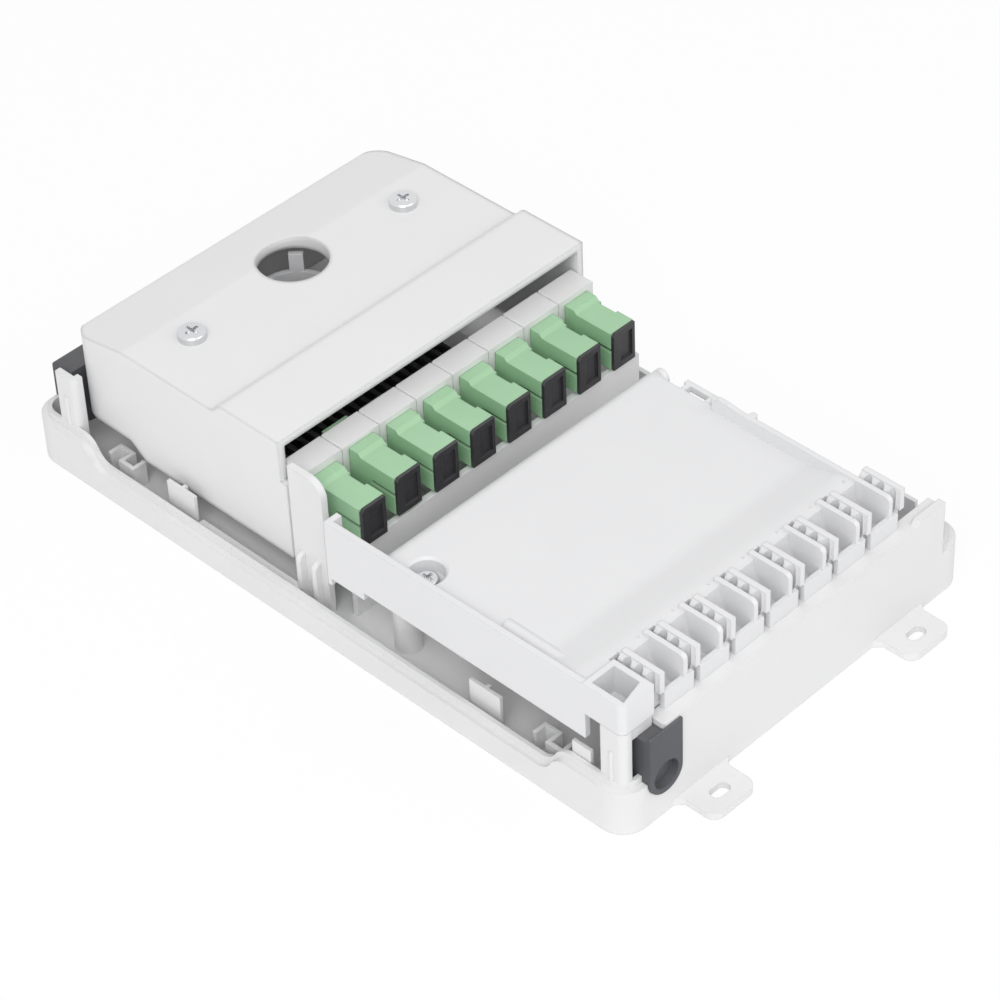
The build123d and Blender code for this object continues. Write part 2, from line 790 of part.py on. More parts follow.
cover_side = roof(0, cover_front, skirt_low)
cover_plan = outline(0, skirt_low - 1)
cover_body = extrude(cover_side, 2 * cover_half) & extrude(cover_plan, band_top)
with BuildPart() as cover:
    add(cover_body)
    # skirt is higher at the back
    with BuildSketch(Plane.YZ.offset(-cover_half - 1)):
        with BuildLine():
            Polyline((skirt_low_end, skirt_low - 1), (skirt_low_end, skirt_low),
                     (skirt_low_end + skirt_rise_run, skirt_high), (cover_back + 1, skirt_high),
                     (cover_back + 1, skirt_low - 1), close=True)
        make_face()
    extrude(amount=2 * cover_half + 2, mode=Mode.SUBTRACT)
    # wings that reach forward at both sides
    for side_x in (-1, 1):
        with BuildSketch(Plane.XY.offset(skirt_low)):
            with Locations((side_x * (cover_half - cover_wall / 2), cover_front - wing_reach / 2)):
                Rectangle(cover_wall, wing_reach)
        extrude(amount=wing_top - skirt_low)
    add(hollow.part, mode=Mode.SUBTRACT)
    with Locations((cover_hole[0], cover_hole[1], band_top)):
        Hole(cover_hole_r, depth=band_top - main_top + hole_collar_depth + 1)
    with Locations((cover_screws_at[0], cover_screws_at[1], band_top),
                   (-cover_screws_at[0], cover_screws_at[1], band_top)):
        Hole(screw_hole_r, depth=band_top - main_top + cover_wall + 1)
cover.part.label = "splice_cover"
export_step(cover.part, "parts/splice_cover.step")

# Carriers, adapters, sleeves and caps, one of each for every port
for number in range(adapter_count):
    x = (number - (adapter_count - 1) / 2) * adapter_pitch
    low = adapter_floor + shift_z[number]
    front = adapter_front + shift_y[number]
    back = front + adapter_length
    mid_z = low + adapter_high / 2
    body_high = adapter_high - collar_rise
    port_z = low + body_high / 2

    with BuildPart() as carrier:
        with BuildSketch(Plane.XY.offset(carrier_under)):
            with Locations((x, carrier_front + carrier_length / 2)):
                Rectangle(adapter_pitch - carrier_gap, carrier_length)
        extrude(amount=carrier_top - carrier_under)
        long_edges = carrier.edges().filter_by(Axis.Y).group_by(Axis.Z)[-1]
        chamfer(long_edges, carrier_edge)
        with BuildSketch(Plane.XZ.offset(-carrier_front)):
            with Locations((x, low - carrier_fit + (adapter_high + 2 * carrier_fit) / 2)):
                Rectangle(adapter_width + 2 * carrier_fit, adapter_high + 2 * carrier_fit)
        extrude(amount=-carrier_length, mode=Mode.SUBTRACT)
    carrier.part.label = f"carrier_{number + 1}"
    export_step(carrier.part, f"parts/carrier_{number + 1}.step")

    with BuildPart() as adapter:
        with BuildSketch(Plane.XZ.offset(-front)):
            with Locations((x, port_z)):
                Rectangle(adapter_width, body_high)
        extrude(amount=-adapter_length)
        # raised collar from just before the carrier to the back end
        collar_front = carrier_front - collar_length
        with BuildSketch(Plane.YZ.offset(x - adapter_width / 2)):
            with BuildLine():
                Polyline((collar_front, low + body_high), (collar_front + collar_step, low + adapter_high),
                         (back, low + adapter_high), (back, low + body_high), close=True)
            make_face()
        extrude(amount=adapter_width)
        # catch recess along the right top edge
        catch_end = collar_front - catch_gap
        with BuildSketch(Plane.XY.offset(low + body_high - catch_high)):
            with Locations((x + adapter_width / 2 - catch_deep / 2, catch_end - catch_length / 2)):
                Rectangle(catch_deep, catch_length)
        extrude(amount=catch_high, mode=Mode.SUBTRACT)
        # ports in from both ends up to the web
        for plane_y, way in ((front, -1), (back, 1)):
            with BuildSketch(Plane.XZ.offset(-plane_y)):
                with Locations((x, port_z)):
                    Rectangle(port_width, port_high)
            extrude(amount=way * port_deep, mode=Mode.SUBTRACT)
        # key slot down the left side of the front port
        with BuildSketch(Plane.YZ.offset(x - adapter_width / 2)):
            with Locations((front + key_slot_length / 2, low + key_slot_up)):
                Rectangle(key_slot_length, key_slot_high)
        extrude(amount=key_slot_deep, mode=Mode.SUBTRACT)
        # tube in the web that holds the sleeve
        centre_y = front + adapter_length / 2
        tube_length = sleeve_length + 2 * sleeve_fit
        with BuildSketch(Plane.XZ.offset(-centre_y + tube_length / 2)):
            with Locations((x, port_z)):
                Circle(tube_r)
        extrude(amount=-tube_length)
        with BuildSketch(Plane.XZ.offset(-centre_y + tube_length / 2)):
            with Locations((x, port_z)):
                Circle(sleeve_outer / 2 + sleeve_fit)
        extrude(amount=-tube_length, mode=Mode.SUBTRACT)
    adapter.part.label = f"adapter_{number + 1}"
    export_step(adapter.part, f"parts/adapter_{number + 1}.step")

    with BuildPart() as sleeve:
        with BuildSketch(Plane.XZ.offset(-centre_y + sleeve_length / 2)):
            with Locations((x, port_z)):
                Circle(sleeve_outer / 2)
                Circle(sleeve_bore / 2, mode=Mode.SUBTRACT)
            with Locations((x, port_z + sleeve_outer / 2)):
                Rectangle(sleeve_split, sleeve_outer, mode=Mode.SUBTRACT)
        extrude(amount=-sleeve_length)
    sleeve.part.label = f"sleeve_{number + 1}"
    export_step(sleeve.part, f"parts/sleeve_{number + 1}.step")

    with BuildPart() as cap:
        cap_back = front - cap_gap
        cap_front = cap_back - cap_flange
        with BuildSketch(Plane.XZ.offset(-cap_front)):
            with Locations((x, low + cap_high / 2)):
                Rectangle(cap_width, cap_high)
        extrude(amount=-cap_flange)
        chamfer(cap.edges().filter_by(Axis.Y).group_by(Axis.Z)[-1].sort_by(Axis.X)[0], cap_corner)
        with BuildSketch(Plane.XZ.offset(-cap_back)):
            with Locations((x, port_z)):
                Rectangle(port_width - 2 * cap_plug_fit, port_high - 2 * cap_plug_fit)
        extrude(amount=-cap_plug_length)
        with BuildSketch(Plane.XZ.offset(-cap_back)):
            with Locations((x, port_z)):
                Circle(cap_bore / 2)
        extrude(amount=-cap_plug_length, mode=Mode.SUBTRACT)
        with BuildSketch(Plane.XZ.offset(-cap_front)):
            with Locations((x + cap_recess_side, low + cap_high / 2)):
                Rectangle(cap_recess_width, cap_recess_high)
        extrude(amount=-cap_recess_deep, mode=Mode.SUBTRACT)
    cap.part.label = f"dust_cap_{number + 1}"
    export_step(cap.part, f"parts/dust_cap_{number + 1}.step")

# Grommets, mirrored front and back
for name, way in (("front_grommet", -1), ("rear_grommet", 1)):
    with BuildPart() as grommet:
        outer_y = way * (half_length + grommet_proud) if way < 0 else half_length - rear_grommet_back
        with BuildSketch(Plane.XZ.offset(-outer_y)):
            with Locations((grommet_x, grommet_centre_z)):
                Circle(grommet_width / 2)
            with Locations((grommet_x, (grommet_top + grommet_centre_z) / 2)):
                Rectangle(grommet_width, grommet_top - grommet_centre_z)
        extrude(amount=way * (grommet_deep if way < 0 else grommet_deep - rear_grommet_back - grommet_proud))
        if way > 0:
            rear_top = grommet.edges().filter_by(Axis.X).group_by(Axis.Z)[-1].sort_by(Axis.Y)[-1]
            fillet(rear_top, rear_grommet_round)
        if way < 0:
            with BuildSketch(Plane.XZ.offset(-outer_y)):
                with Locations((grommet_x, (grommet_top + grommet_lip_top) / 2)):
                    Rectangle(grommet_width, grommet_lip_top - grommet_top)
            extrude(amount=way * (grommet_proud - grommet_lip_gap))
        with BuildSketch(Plane.XZ.offset(-outer_y)):
            with Locations((grommet_x, grommet_centre_z)):
                Circle(recess_r)
        extrude(amount=way * recess_deep, mode=Mode.SUBTRACT)
    grommet.part.label = name
    export_step(grommet.part, f"parts/{name}.step")


def pan_screw(x, y, seat, head_r, length):
    """Pan head screw with a cross recess, standing on its seat."""
    with BuildPart() as screw:
        with BuildSketch(Plane.XY.offset(seat)):
            with Locations((x, y)):
                Circle(head_r)
        extrude(amount=pan_high)
        fillet(screw.edges().group_by(Axis.Z)[-1], pan_edge)
        with BuildSketch(Plane.XY.offset(seat + pan_high - drive_deep)):
            with Locations((x, y)):
                Rectangle(drive_span * head_r / pan_r, drive_width)
                Rectangle(drive_width, drive_span * head_r / pan_r)
        extrude(amount=drive_deep, mode=Mode.SUBTRACT)
        with BuildSketch(Plane.XY.offset(seat)):
            with Locations((x, y)):
                Circle(shank_r)
        extrude(amount=-length)
    return screw.part


cover_screw_parts = [pan_screw(way * cover_screws_at[0], cover_screws_at[1], main_top, pan_r,
                               shank_length) for way in (-1, 1)]
cover_screws = Compound(label="cover_screws", children=cover_screw_parts)
export_step(cover_screws, "parts/cover_screws.step")
tray_seat = cup_under + cup_floor
tray_screw_parts = [pan_screw(fix_x, fix_y, tray_seat, tray_pan_r, cup_floor + lug_arm)
                    for fix_x, fix_y in tray_fixings]
tray_screws = Compound(label="tray_screws", children=tray_screw_parts)
export_step(tray_screws, "parts/tray_screws.step")

# Splice tray on the floor under the cover, with the fibre spool
with BuildPart() as splice:
    splice_length = half_length - splice_back_in - splice_start
    splice_mid = splice_start + splice_length / 2
    with BuildSketch(Plane.XY.offset(floor_thick)):
        with Locations((0, splice_mid)):
            RectangleRounded(2 * (cover_half - cover_wall - splice_side), splice_length, base_corner)
        with Locations((cover_screws_at[0], cover_screws_at[1]), (-cover_screws_at[0], cover_screws_at[1])):
            Circle(boss_r + splice_fit, mode=Mode.SUBTRACT)
    extrude(amount=splice_thick)
    with BuildSketch(Plane.XY.offset(floor_thick)):
        with Locations(cover_hole):
            Circle(spool_r)
            Circle(spool_r - spool_wall, mode=Mode.SUBTRACT)
    extrude(amount=splice_thick + spool_high)
    with BuildSketch(Plane.XY.offset(floor_thick + splice_thick)):
        with Locations(cover_hole):
            with PolarLocations(spool_r - spool_wall / 2, 1, start_angle=spool_tab_angle):
                Rectangle(spool_wall, spool_tab_width)
    extrude(amount=spool_high + spool_tab_high)
splice.part.label = "splice_tray"
export_step(splice.part, "parts/splice_tray.step")

with BuildPart() as holder:
    holder_x = cover_hole_x
    holder_y = splice_start + holder_length / 2 + spool_wall
    with BuildSketch(Plane.XY.offset(floor_thick + splice_thick)):
        with Locations((holder_x, holder_y)):
            Rectangle(holder_width, holder_length)
    extrude(amount=holder_high)
    with BuildSketch(Plane.XY.offset(floor_thick + splice_thick + holder_base)):
        with Locations((holder_x, holder_y)):
            with GridLocations(holder_pitch, 0, holder_slots, 1):
                Rectangle(holder_slot_width, holder_length)
    extrude(amount=holder_high, mode=Mode.SUBTRACT)
holder.part.label = "splice_holder"
export_step(holder.part, "parts/splice_holder.step")
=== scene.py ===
import bpy
import math
from mathutils import Matrix, Vector


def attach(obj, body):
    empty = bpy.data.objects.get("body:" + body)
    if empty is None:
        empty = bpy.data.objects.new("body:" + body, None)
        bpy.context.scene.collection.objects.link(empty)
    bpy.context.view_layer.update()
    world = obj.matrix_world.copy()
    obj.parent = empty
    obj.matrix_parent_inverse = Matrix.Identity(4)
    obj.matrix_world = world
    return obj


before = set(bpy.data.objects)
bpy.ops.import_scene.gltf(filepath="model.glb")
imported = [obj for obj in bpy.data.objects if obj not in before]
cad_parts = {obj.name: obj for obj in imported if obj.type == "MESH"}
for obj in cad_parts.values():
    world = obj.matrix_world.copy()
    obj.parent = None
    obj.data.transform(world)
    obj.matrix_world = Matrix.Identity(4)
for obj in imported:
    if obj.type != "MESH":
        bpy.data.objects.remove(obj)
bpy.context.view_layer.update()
mm = 0.001
print("frame loaded:", len(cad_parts), "nodes")

# Helpers for node trees


def addNode(tree, kind, at, **settings):
    node = tree.nodes.new(kind)
    node.location = at
    for key, value in settings.items():
        setattr(node, key, value)
    return node


def newGroup(name, inputs, outputs, kind="ShaderNodeTree"):
    group = bpy.data.node_groups.new(name, kind)
    for label, socketType, value in inputs:
        socket = group.interface.new_socket(label, in_out="INPUT", socket_type=socketType)
        if value is not None:
            socket.default_value = value
    for label, socketType in outputs:
        group.interface.new_socket(label, in_out="OUTPUT", socket_type=socketType)
    return group


# Fine spark-eroded grain, soft clouding, scuffs and lightly rubbed edges, for every moulded or plated piece
surfaceLook = {
    "grainDetail": 3.0,
    "cloudScale": 38.0,
    "cloudDetail": 4.0,
    "cloudRange": (0.3, 0.7),
    "scuffTurn": (0.3, 0.2, 0.7),
    "scuffStretch": (900, 60, 400),
    "scuffDetail": 5.0,
    "scuffRange": (0.62, 0.78),
    "scuffDulling": 0.3,
    "edgeSamples": 6,
    "edgeRange": (0.99, 0.75),    # cosine between the rounded and the flat normal
    "grainStrength": 0.5,
}


def buildSurfaceGroup(p):
    group = newGroup("mouldedSurface", [
        ("Color", "NodeSocketColor", (0.8, 0.8, 0.8, 1)),
        ("Worn Color", "NodeSocketColor", (0.9, 0.9, 0.9, 1)),
        ("Dust Color", "NodeSocketColor", (0.7, 0.68, 0.64, 1)),
        ("Grain Scale", "NodeSocketFloat", 2600.0),
        ("Grain Depth", "NodeSocketFloat", 0.00002),
        ("Clouding", "NodeSocketFloat", 0.03),
        ("Roughness", "NodeSocketFloat", 0.45),
        ("Roughness Spread", "NodeSocketFloat", 0.08),
        ("Edge Radius", "NodeSocketFloat", 0.0004),
        ("Edge Wear", "NodeSocketFloat", 0.2),
        ("Dust", "NodeSocketFloat", 0.05),
        ("Scuffs", "NodeSocketFloat", 0.1),
    ], [
        ("Color", "NodeSocketColor"),
        ("Roughness", "NodeSocketFloat"),
        ("Normal", "NodeSocketVector"),
    ])
    n = group.nodes
    link = group.links.new
    gin = addNode(group, "NodeGroupInput", (-1400, 0))
    gout = addNode(group, "NodeGroupOutput", (1100, 0))
    coord = addNode(group, "ShaderNodeTexCoord", (-1400, 500))
    grain = addNode(group, "ShaderNodeTexNoise", (-1100, 600))
    grain.inputs["Detail"].default_value = p["grainDetail"]
    link(coord.outputs["Object"], grain.inputs["Vector"])
    link(gin.outputs["Grain Scale"], grain.inputs["Scale"])
    cloud = addNode(group, "ShaderNodeTexNoise", (-1100, 350))
    cloud.inputs["Scale"].default_value = p["cloudScale"]
    cloud.inputs["Detail"].default_value = p["cloudDetail"]
    link(coord.outputs["Object"], cloud.inputs["Vector"])
    stretch = addNode(group, "ShaderNodeMapping", (-1300, 100))
    stretch.inputs["Rotation"].default_value = p["scuffTurn"]
    stretch.inputs["Scale"].default_value = p["scuffStretch"]
    link(coord.outputs["Object"], stretch.inputs["Vector"])
    scuff = addNode(group, "ShaderNodeTexNoise", (-1100, 100))
    scuff.inputs["Scale"].default_value = 1.0
    scuff.inputs["Detail"].default_value = p["scuffDetail"]
    link(stretch.outputs["Vector"], scuff.inputs["Vector"])
    scuffMask = addNode(group, "ShaderNodeMapRange", (-900, 100))
    scuffMask.inputs["From Min"].default_value = p["scuffRange"][0]
    scuffMask.inputs["From Max"].default_value = p["scuffRange"][1]
    link(scuff.outputs["Fac"], scuffMask.inputs["Value"])
    # edges: where the rounded normal leaves the flat one
    bevel = addNode(group, "ShaderNodeBevel", (-1100, -200), samples=p["edgeSamples"])
    link(gin.outputs["Edge Radius"], bevel.inputs["Radius"])
    flat = addNode(group, "ShaderNodeNewGeometry", (-1100, -400))
    dot = addNode(group, "ShaderNodeVectorMath", (-900, -300), operation="DOT_PRODUCT")
    link(bevel.outputs["Normal"], dot.inputs[0])
    link(flat.outputs["Normal"], dot.inputs[1])
    edge = addNode(group, "ShaderNodeMapRange", (-700, -300))
    edge.inputs["From Min"].default_value = p["edgeRange"][0]
    edge.inputs["From Max"].default_value = p["edgeRange"][1]
    link(dot.outputs["Value"], edge.inputs["Value"])
    broken = addNode(group, "ShaderNodeMath", (-500, -300), operation="MULTIPLY")
    link(edge.outputs["Result"], broken.inputs[0])
    link(cloud.outputs["Fac"], broken.inputs[1])
    wear = addNode(group, "ShaderNodeMath", (-300, -300), operation="MULTIPLY")
    link(broken.outputs["Value"], wear.inputs[0])
    link(gin.outputs["Edge Wear"], wear.inputs[1])
    # colour: clouding, then dust on upward faces, scuffs, worn edges
    cloudAmount = addNode(group, "ShaderNodeMapRange", (-700, 350))
    link(cloud.outputs["Fac"], cloudAmount.inputs["Value"])
    cloudAmount.inputs["From Min"].default_value = p["cloudRange"][0]
    cloudAmount.inputs["From Max"].default_value = p["cloudRange"][1]
    low = addNode(group, "ShaderNodeMath", (-900, 500), operation="SUBTRACT")
    low.inputs[0].default_value = 1.0
    link(gin.outputs["Clouding"], low.inputs[1])
    link(low.outputs["Value"], cloudAmount.inputs["To Min"])
    clouded = addNode(group, "ShaderNodeVectorMath", (-400, 350), operation="SCALE")
    link(gin.outputs["Color"], clouded.inputs[0])
    link(cloudAmount.outputs["Result"], clouded.inputs["Scale"])
    up = addNode(group, "ShaderNodeSeparateXYZ", (-900, -550))
    link(flat.outputs["Normal"], up.inputs["Vector"])
    dustMask = addNode(group, "ShaderNodeMath", (-600, -550), operation="MULTIPLY", use_clamp=True)
    link(up.outputs["Z"], dustMask.inputs[0])
    link(gin.outputs["Dust"], dustMask.inputs[1])
    dustSpots = addNode(group, "ShaderNodeMath", (-400, -550), operation="MULTIPLY", use_clamp=True)
    link(dustMask.outputs["Value"], dustSpots.inputs[0])
    link(cloud.outputs["Fac"], dustSpots.inputs[1])
    dusty = addNode(group, "ShaderNodeMix", (-100, 300), data_type="RGBA")
    link(dustSpots.outputs["Value"], dusty.inputs["Factor"])
    link(clouded.outputs["Vector"], dusty.inputs[6])
    link(gin.outputs["Dust Color"], dusty.inputs[7])
    scuffAmount = addNode(group, "ShaderNodeMath", (-300, 100), operation="MULTIPLY")
    link(scuffMask.outputs["Result"], scuffAmount.inputs[0])
    link(gin.outputs["Scuffs"], scuffAmount.inputs[1])
    rubbed = addNode(group, "ShaderNodeMath", (0, -100), operation="MAXIMUM", use_clamp=True)
    link(scuffAmount.outputs["Value"], rubbed.inputs[0])
    link(wear.outputs["Value"], rubbed.inputs[1])
    worn = addNode(group, "ShaderNodeMix", (200, 300), data_type="RGBA")
    link(rubbed.outputs["Value"], worn.inputs["Factor"])
    link(dusty.outputs[2], worn.inputs[6])
    link(gin.outputs["Worn Color"], worn.inputs[7])
    link(worn.outputs[2], gout.inputs["Color"])
    # roughness follows the clouding, and scuffs dull it a little
    spread = addNode(group, "ShaderNodeMath", (-100, -700), operation="MULTIPLY_ADD")
    link(cloud.outputs["Fac"], spread.inputs[0])
    link(gin.outputs["Roughness Spread"], spread.inputs[1])
    link(gin.outputs["Roughness"], spread.inputs[2])
    dulled = addNode(group, "ShaderNodeMath", (200, -700), operation="MULTIPLY_ADD", use_clamp=True)
    link(scuffAmount.outputs["Value"], dulled.inputs[0])
    dulled.inputs[1].default_value = p["scuffDulling"]
    link(spread.outputs["Value"], dulled.inputs[2])
    link(dulled.outputs["Value"], gout.inputs["Roughness"])
    bump = addNode(group, "ShaderNodeBump", (600, -200))
    bump.inputs["Strength"].default_value = p["grainStrength"]
    link(grain.outputs["Fac"], bump.inputs["Height"])
    link(gin.outputs["Grain Depth"], bump.inputs["Distance"])
    link(bevel.outputs["Normal"], bump.inputs["Normal"])
    link(bump.outputs["Normal"], gout.inputs["Normal"])
    return group


surfaceGroup = buildSurfaceGroup(surfaceLook)
print("surface group built")


def makeFinish(name, color, metallic=0.0, specular=0.5, coat=0.0, **values):
    material = bpy.data.materials.new(name)
    material.use_nodes = True
    tree = material.node_tree
    shader = tree.nodes["Principled BSDF"]
    surface = addNode(tree, "ShaderNodeGroup", (-400, 200), node_tree=surfaceGroup)
    surface.inputs["Color"].default_value = (*color, 1)
    for label, value in values.items():
        socket = surface.inputs[label.replace("_", " ").title()]
        socket.default_value = (*value, 1) if isinstance(value, tuple) else value
    tree.links.new(surface.outputs["Color"], shader.inputs["Base Color"])
    tree.links.new(surface.outputs["Roughness"], shader.inputs["Roughness"])
    tree.links.new(surface.outputs["Normal"], shader.inputs["Normal"])
    shader.inputs["Metallic"].default_value = metallic
    shader.inputs["Specular IOR Level"].default_value = specular
    shader.inputs["Coat Weight"].default_value = coat
    material.diffuse_color = (*color, 1)
    return material


finishes = {
    "housingGrey": makeFinish("housingGrey", (0.745, 0.745, 0.75), worn_color=(0.84, 0.84, 0.84),
                              roughness=0.42, clouding=0.03, edge_wear=0.35, scuffs=0.10, dust=0.06),
    "trayGrey": makeFinish("trayGrey", (0.73, 0.732, 0.742), worn_color=(0.84, 0.84, 0.84),
                           roughness=0.40, clouding=0.02, edge_wear=0.35, scuffs=0.06, dust=0.05),
    "coverGrey": makeFinish("coverGrey", (0.75, 0.75, 0.755), worn_color=(0.84, 0.84, 0.84),
                            roughness=0.42, clouding=0.02, edge_wear=0.08, scuffs=0.10, dust=0.06,
                            edge_radius=0.0022),
    "carrierGrey": makeFinish("carrierGrey", (0.74, 0.74, 0.74), worn_color=(0.84, 0.84, 0.84),
                              roughness=0.45, clouding=0.04, edge_wear=0.35, scuffs=0.10, dust=0.05),
    "innerGrey": makeFinish("innerGrey", (0.66, 0.66, 0.67), worn_color=(0.8, 0.8, 0.8),
                            roughness=0.45, clouding=0.04, edge_wear=0.3),
    "adapterGreen": makeFinish("adapterGreen", (0.325, 0.555, 0.335), worn_color=(0.50, 0.72, 0.50),
                               dust_color=(0.62, 0.74, 0.60), roughness=0.36, clouding=0.06,
                               edge_wear=0.55, scuffs=0.15, dust=0.2, edge_radius=0.00035),
    "capBlack": makeFinish("capBlack", (0.030, 0.029, 0.033), worn_color=(0.12, 0.12, 0.125),
                           dust_color=(0.2, 0.2, 0.2), roughness=0.42, clouding=0.2,
                           edge_wear=0.5, scuffs=0.25, dust=0.15, edge_radius=0.0003),
    "grommetRubber": makeFinish("grommetRubber", (0.092, 0.095, 0.107), worn_color=(0.14, 0.14, 0.145),
                                dust_color=(0.25, 0.24, 0.23), roughness=0.62, clouding=0.25,
                                grain_scale=1500.0, grain_depth=0.00006, edge_wear=0.5, dust=0.3),
    "holderRubber": makeFinish("holderRubber", (0.05, 0.05, 0.05), worn_color=(0.1, 0.1, 0.1), roughness=0.6),
    "zincPlate": makeFinish("zincPlate", (0.72, 0.73, 0.74), metallic=1.0, worn_color=(0.9, 0.9, 0.9),
                            roughness=0.2, clouding=0.12, grain_scale=1200.0, edge_wear=0.4,
                            edge_radius=0.00015, scuffs=0.2, dust=0.0),
    "sleeveBronze": makeFinish("sleeveBronze", (0.72, 0.50, 0.26), metallic=1.0, worn_color=(0.85, 0.65, 0.4),
                               roughness=0.25, edge_wear=0.3),
}
print("finishes made:", len(finishes))


def finishFor(name):
    if name == "front_tray":
        return "trayGrey"
    if name == "splice_cover":
        return "coverGrey"
    for start, finish in (("base", "housingGrey"), ("carrier", "carrierGrey"), ("adapter", "adapterGreen"),
                          ("dust_cap", "capBlack"), ("sleeve", "sleeveBronze"), ("splice_tray", "innerGrey"),
                          ("splice_holder", "holderRubber"), ("cover_screws", "zincPlate"),
                          ("tray_screws", "zincPlate")):
        if name.startswith(start):
            return finish
    return "grommetRubber"


for name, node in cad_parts.items():
    node.data.materials.clear()
    node.data.materials.append(finishes[finishFor(name)])
print("finishes given to the nodes")

# Row of small round marks that the mould's pins leave, made with Geometry Nodes
markTaper = 0.72    # top radius over bottom radius
markSides = 20


def buildRowTree():
    tree = newGroup("markRow", [
        ("Geometry", "NodeSocketGeometry", None),
        ("Count", "NodeSocketInt", 2),
        ("Start", "NodeSocketVector", None),
        ("Step", "NodeSocketVector", None),
        ("Radius", "NodeSocketFloat", 0.001),
        ("Height", "NodeSocketFloat", 0.001),
        ("Material", "NodeSocketMaterial", None),
    ], [("Geometry", "NodeSocketGeometry")], kind="GeometryNodeTree")
    link = tree.links.new
    gin = addNode(tree, "NodeGroupInput", (-900, 0))
    gout = addNode(tree, "NodeGroupOutput", (900, 0))
    row = addNode(tree, "GeometryNodeMeshLine", (-600, 200))
    link(gin.outputs["Count"], row.inputs["Count"])
    link(gin.outputs["Start"], row.inputs["Start Location"])
    link(gin.outputs["Step"], row.inputs["Offset"])
    # one mark: a low drum with a narrower top
    drum = addNode(tree, "GeometryNodeMeshCone", (-600, -100))
    drum.inputs["Vertices"].default_value = markSides
    shrink = addNode(tree, "ShaderNodeMath", (-800, -300), operation="MULTIPLY")
    shrink.inputs[1].default_value = markTaper
    link(gin.outputs["Radius"], shrink.inputs[0])
    link(shrink.outputs["Value"], drum.inputs["Radius Top"])
    link(gin.outputs["Radius"], drum.inputs["Radius Bottom"])
    link(gin.outputs["Height"], drum.inputs["Depth"])
    copies = addNode(tree, "GeometryNodeInstanceOnPoints", (-200, 100))
    link(row.outputs["Mesh"], copies.inputs["Points"])
    link(drum.outputs["Mesh"], copies.inputs["Instance"])
    solid = addNode(tree, "GeometryNodeRealizeInstances", (100, 100))
    link(copies.outputs["Instances"], solid.inputs["Geometry"])
    finish = addNode(tree, "GeometryNodeSetMaterial", (400, 100))
    link(solid.outputs["Geometry"], finish.inputs["Geometry"])
    link(gin.outputs["Material"], finish.inputs["Material"])
    link(finish.outputs["Geometry"], gout.inputs["Geometry"])
    return tree


rowTree = buildRowTree()


def makeRow(name, p, finish, body):
    holder = bpy.data.objects.new(name, bpy.data.meshes.new(name + "Seed"))
    bpy.context.scene.collection.objects.link(holder)
    modifier = holder.modifiers.new("row", "NODES")
    modifier.node_group = rowTree
    values = {"Count": p["count"], "Start": p["start"], "Step": p["step"],
              "Radius": p["radius"], "Height": p["height"], "Material": finish}
    for item in rowTree.interface.items_tree:
        if item.item_type == "SOCKET" and item.in_out == "INPUT" and item.name in values:
            modifier[item.identifier] = values[item.name]
    seen = holder.evaluated_get(bpy.context.evaluated_depsgraph_get())
    mesh = bpy.data.meshes.new_from_object(seen)
    mesh.name = name
    holder.modifiers.clear()
    holder.data = mesh
    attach(holder, body)
    print(name, "made:", len(mesh.polygons), "faces")
    return holder


shelfMarks = {
    "count": 7,
    "start": (-44.2 * mm, -99.2 * mm, 43.8 * mm),
    "step": (13.7 * mm, 0.0, 0.0),
    "radius": 0.42 * mm,
    "height": 0.3 * mm,
}
makeRow("shelfMarks", shelfMarks, finishes["trayGrey"], "box")

# Camera: where the photograph was taken from
cameraPlace = {
    "back": Vector((-0.5237, -0.5411, 0.6580)),
    "right": Vector((0.7186, -0.6954, 0.0)),
    "roll": -2.62,
    "distance": 1.040,
    "target": Vector((0.00548, 0.0007, 0.0)),
    "lens": 129.96,
}


def placeCamera(p):
    back = p["back"].normalized()
    right = (p["right"] - back * p["right"].dot(back)).normalized()
    up = back.cross(right)
    turn = math.radians(p["roll"])
    x = right * math.cos(turn) + up * math.sin(turn)
    y = up * math.cos(turn) - right * math.sin(turn)
    data = bpy.data.cameras.new("camera")
    data.lens = p["lens"]
    data.sensor_width = 36.0
    data.clip_start = 0.05
    data.clip_end = 20.0
    camera = bpy.data.objects.new("camera", data)
    bpy.context.scene.collection.objects.link(camera)
    place = Matrix((x, y, back)).transposed().to_4x4()
    place.translation = p["target"] + back * p["distance"]
    camera.matrix_world = place
    bpy.context.scene.camera = camera


placeCamera(cameraPlace)

# Floor and light
studio = {
    "floorSize": 6.0,
    "floorColor": (0.86, 0.86, 0.86, 1),
    "floorWhite": 0.90,    # share of plain white that the camera sees there
    "worldLevel": 0.70,
    "keyPower": 16.5,
    "keySize": 1.2,
    "keyAt": Vector((-1.0, -0.8, 1.3)),
    "fillPower": 3.8,
    "fillSize": 1.4,
    "fillAt": Vector((0.5, -1.3, 1.1)),
}


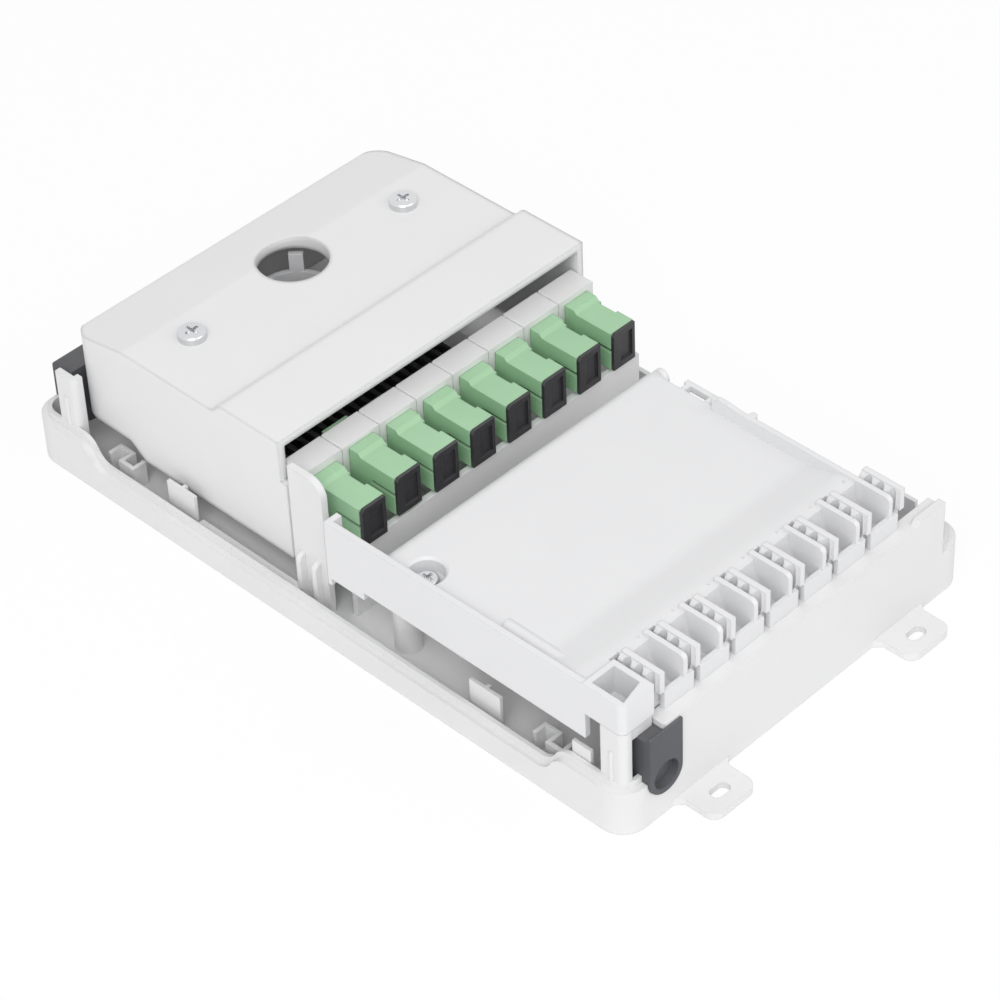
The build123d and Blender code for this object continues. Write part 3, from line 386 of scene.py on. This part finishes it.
def makeFloor(p):
    mesh = bpy.data.meshes.new("floor")
    half = p["floorSize"] / 2
    corners = [(-half, -half, 0), (half, -half, 0), (half, half, 0), (-half, half, 0)]
    mesh.from_pydata(corners, [], [(0, 1, 2, 3)])
    floor = bpy.data.objects.new("floor", mesh)
    bpy.context.scene.collection.objects.link(floor)
    material = bpy.data.materials.new("paleFloor")
    material.use_nodes = True
    tree = material.node_tree
    shader = tree.nodes["Principled BSDF"]
    shader.inputs["Base Color"].default_value = p["floorColor"]
    shader.inputs["Roughness"].default_value = 0.9
    shader.inputs["Specular IOR Level"].default_value = 0.1
    out = tree.nodes["Material Output"]
    glow = addNode(tree, "ShaderNodeEmission", (0, -300))
    glow.inputs["Color"].default_value = (1, 1, 1, 1)
    paths = addNode(tree, "ShaderNodeLightPath", (-600, 300))
    seen = addNode(tree, "ShaderNodeMath", (-400, 300), operation="MAXIMUM")
    tree.links.new(paths.outputs["Is Camera Ray"], seen.inputs[0])
    tree.links.new(paths.outputs["Is Glossy Ray"], seen.inputs[1])
    share = addNode(tree, "ShaderNodeMath", (-200, 300), operation="MULTIPLY")
    share.inputs[1].default_value = p["floorWhite"]
    tree.links.new(seen.outputs["Value"], share.inputs[0])
    mix = addNode(tree, "ShaderNodeMixShader", (200, 0))
    tree.links.new(share.outputs["Value"], mix.inputs["Fac"])
    tree.links.new(shader.outputs["BSDF"], mix.inputs[1])
    tree.links.new(glow.outputs["Emission"], mix.inputs[2])
    tree.links.new(mix.outputs["Shader"], out.inputs["Surface"])
    mesh.materials.append(material)


def makeLamp(name, at, power, size, target=Vector((0, 0, 0.02))):
    data = bpy.data.lights.new(name, "AREA")
    data.energy = power
    data.shape = "DISK"
    data.size = size
    lamp = bpy.data.objects.new(name, data)
    bpy.context.scene.collection.objects.link(lamp)
    lamp.location = at
    lamp.rotation_euler = (at - target).to_track_quat("Z", "Y").to_euler()


def makeWorld(p):
    world = bpy.data.worlds.new("studioWorld")
    bpy.context.scene.world = world
    world.use_nodes = True
    tree = world.node_tree
    soft = tree.nodes["Background"]
    soft.inputs["Color"].default_value = (1, 1, 1, 1)
    soft.inputs["Strength"].default_value = p["worldLevel"]
    white = addNode(tree, "ShaderNodeBackground", (0, -200))
    white.inputs["Color"].default_value = (1, 1, 1, 1)
    white.inputs["Strength"].default_value = 1.0
    paths = addNode(tree, "ShaderNodeLightPath", (-600, 200))
    first = addNode(tree, "ShaderNodeMath", (-400, 200), operation="MAXIMUM")
    tree.links.new(paths.outputs["Is Camera Ray"], first.inputs[0])
    tree.links.new(paths.outputs["Is Glossy Ray"], first.inputs[1])
    seen = addNode(tree, "ShaderNodeMath", (-200, 200), operation="MAXIMUM")
    tree.links.new(first.outputs["Value"], seen.inputs[0])
    tree.links.new(paths.outputs["Is Transmission Ray"], seen.inputs[1])
    mix = addNode(tree, "ShaderNodeMixShader", (200, 0))
    tree.links.new(seen.outputs["Value"], mix.inputs["Fac"])
    tree.links.new(soft.outputs["Background"], mix.inputs[1])
    tree.links.new(white.outputs["Background"], mix.inputs[2])
    tree.links.new(mix.outputs["Shader"], tree.nodes["World Output"].inputs["Surface"])


makeFloor(studio)
makeLamp("keyLamp", studio["keyAt"], studio["keyPower"], studio["keySize"])
makeLamp("fillLamp", studio["fillAt"], studio["fillPower"], studio["fillSize"])
makeWorld(studio)
bpy.context.scene.view_settings.view_transform = "Standard"
print("studio set")
